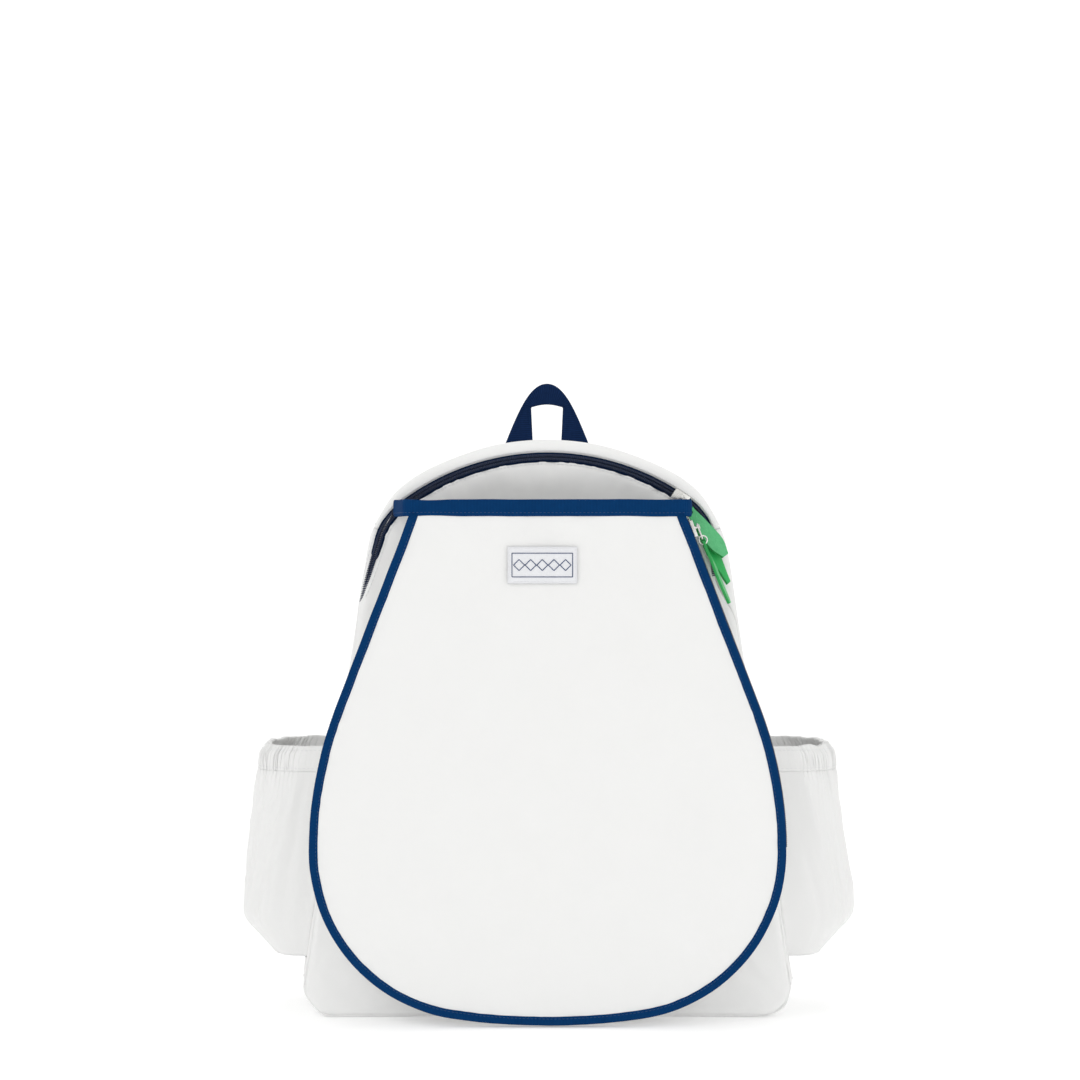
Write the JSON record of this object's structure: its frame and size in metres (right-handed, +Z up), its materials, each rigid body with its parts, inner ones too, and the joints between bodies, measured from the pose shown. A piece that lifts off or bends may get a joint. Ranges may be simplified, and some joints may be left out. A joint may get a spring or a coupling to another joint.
{
  "type": "racket backpack",
  "caption": "White backpack with a teardrop racket pocket bound in navy, zipped main compartment, gathered side pockets, grab handle and padded shoulder straps.",
  "frame": {"origin": "on the floor, under the middle of the bag's box", "axes": "+X to the right as seen from the racket pocket, -Y towards the viewer of the racket pocket, +Z up"},
  "size_m": [0.484, 0.1912, 0.497],
  "materials": {
    "back_fabric": "white coated canvas",
    "board": "stiffening board",
    "buckle_plastic": "navy moulded plastic",
    "elastic": "gathered elastic under white fabric",
    "foam": "open foam",
    "label": "woven label",
    "leather": "bright green smooth leather",
    "lining": "light grey lining",
    "metal": "polished silver zip hardware",
    "navy_binding": "navy grosgrain binding",
    "navy_webbing": "navy ribbed webbing",
    "strap_fabric": "white coated canvas over foam",
    "white_fabric": "white coated canvas",
    "zip_coil": "dark navy nylon coil",
    "zip_tape": "dark navy woven zip tape"
  },
  "bodies": {
    "root": {"back_foam_pad": "foam", "back_lining": "lining", "back_panel": "back_fabric", "base_board": "board", "base_panel": "white_fabric", "label_patch": "label", "main_front_panel": "white_fabric", "main_zip_inner_coil": "zip_coil", "main_zip_inner_tape": "zip_tape", "main_zip_outer_coil": "zip_coil", "main_zip_outer_tape": "zip_tape", "pocket_zip_back_coil": "zip_coil", "pocket_zip_back_tape": "zip_tape", "pocket_zip_front_coil": "zip_coil", "pocket_zip_front_tape": "zip_tape", "racket_pocket_binding": "navy_binding", "racket_pocket_foam": "foam", "racket_pocket_gusset_left": "white_fabric", "racket_pocket_gusset_right": "white_fabric", "racket_pocket_panel": "white_fabric", "racket_pocket_piping": "navy_binding", "side_elastic_left": "elastic", "side_elastic_right": "elastic", "side_gusset_left": "white_fabric", "side_gusset_right": "white_fabric", "side_pocket_left": "white_fabric", "side_pocket_right": "white_fabric", "strap_anchor_left": "white_fabric", "strap_anchor_right": "white_fabric", "strap_webbing_left": "navy_webbing", "strap_webbing_right": "navy_webbing", "strap_yoke": "white_fabric", "top_gusset": "white_fabric"},
    "main_slider": {"main_slider": "metal"},
    "main_link": {"main_pull_link": "metal"},
    "main_pull": {"main_pull_ring": "metal", "main_pull_front_leaf": "leather", "main_pull_back_leaf": "leather"},
    "pocket_slider": {"pocket_slider": "metal"},
    "pocket_link": {"pocket_pull_link": "metal"},
    "pocket_pull": {"pocket_pull_ring": "metal", "pocket_pull_leaf": "leather"},
    "handle": {"grab_handle": "navy_webbing"},
    "strap_left": {"shoulder_strap_left": "strap_fabric", "buckle_loop_left": "navy_webbing", "ladder_lock_left": "buckle_plastic", "strap_tail_left": "navy_webbing"},
    "strap_right": {"shoulder_strap_right": "strap_fabric", "buckle_loop_right": "navy_webbing", "ladder_lock_right": "buckle_plastic", "strap_tail_right": "navy_webbing"}
  },
  "joints": [
    {"name": "main_zip", "type": "hinge", "parent": "root", "child": "main_slider", "pos_m": [0, -0.056, 0.2494], "axis": [0, -1, 0], "range_deg": [0, 67.6]},
    {"name": "main_pull_swing", "type": "hinge", "parent": "main_slider", "child": "main_link", "pos_m": [0.1028, -0.056, 0.40297], "axis": [0, -1, 0], "range_deg": [0, 45]},
    {"name": "main_pull_lift", "type": "hinge", "parent": "main_link", "child": "main_pull", "pos_m": [0.10734, -0.0616, 0.39699], "axis": [-0.7965, 0, -0.6046], "range_deg": [0, 25]},
    {"name": "pocket_zip", "type": "slide", "parent": "root", "child": "pocket_slider", "axis": [0.3567, 0, -0.9342], "range_m": [0, 0.13]},
    {"name": "pocket_pull_swing", "type": "hinge", "parent": "pocket_slider", "child": "pocket_link", "pos_m": [0.10942, -0.0862, 0.378], "axis": [0.9342, 0, 0.3567], "range_deg": [-30, 10]},
    {"name": "pocket_pull_lift", "type": "hinge", "parent": "pocket_link", "child": "pocket_pull", "pos_m": [0.11733, -0.0862, 0.37299], "axis": [0, -1, 0], "range_deg": [0, 30]},
    {"name": "handle_fold", "type": "hinge", "parent": "root", "child": "handle", "pos_m": [0, 0.0725, 0.435], "axis": [-1, 0, 0], "range_deg": [0, 85], "stiffness_Nm_per_rad": 0.02},
    {"name": "strap_left_swing", "type": "hinge", "parent": "root", "child": "strap_left", "pos_m": [-0.04, 0.0703, 0.404], "axis": [1, 0, 0], "range_deg": [0, 18]},
    {"name": "strap_right_swing", "type": "hinge", "parent": "root", "child": "strap_right", "pos_m": [0.04, 0.0703, 0.404], "axis": [1, 0, 0], "range_deg": [0, 18]}
  ]
}
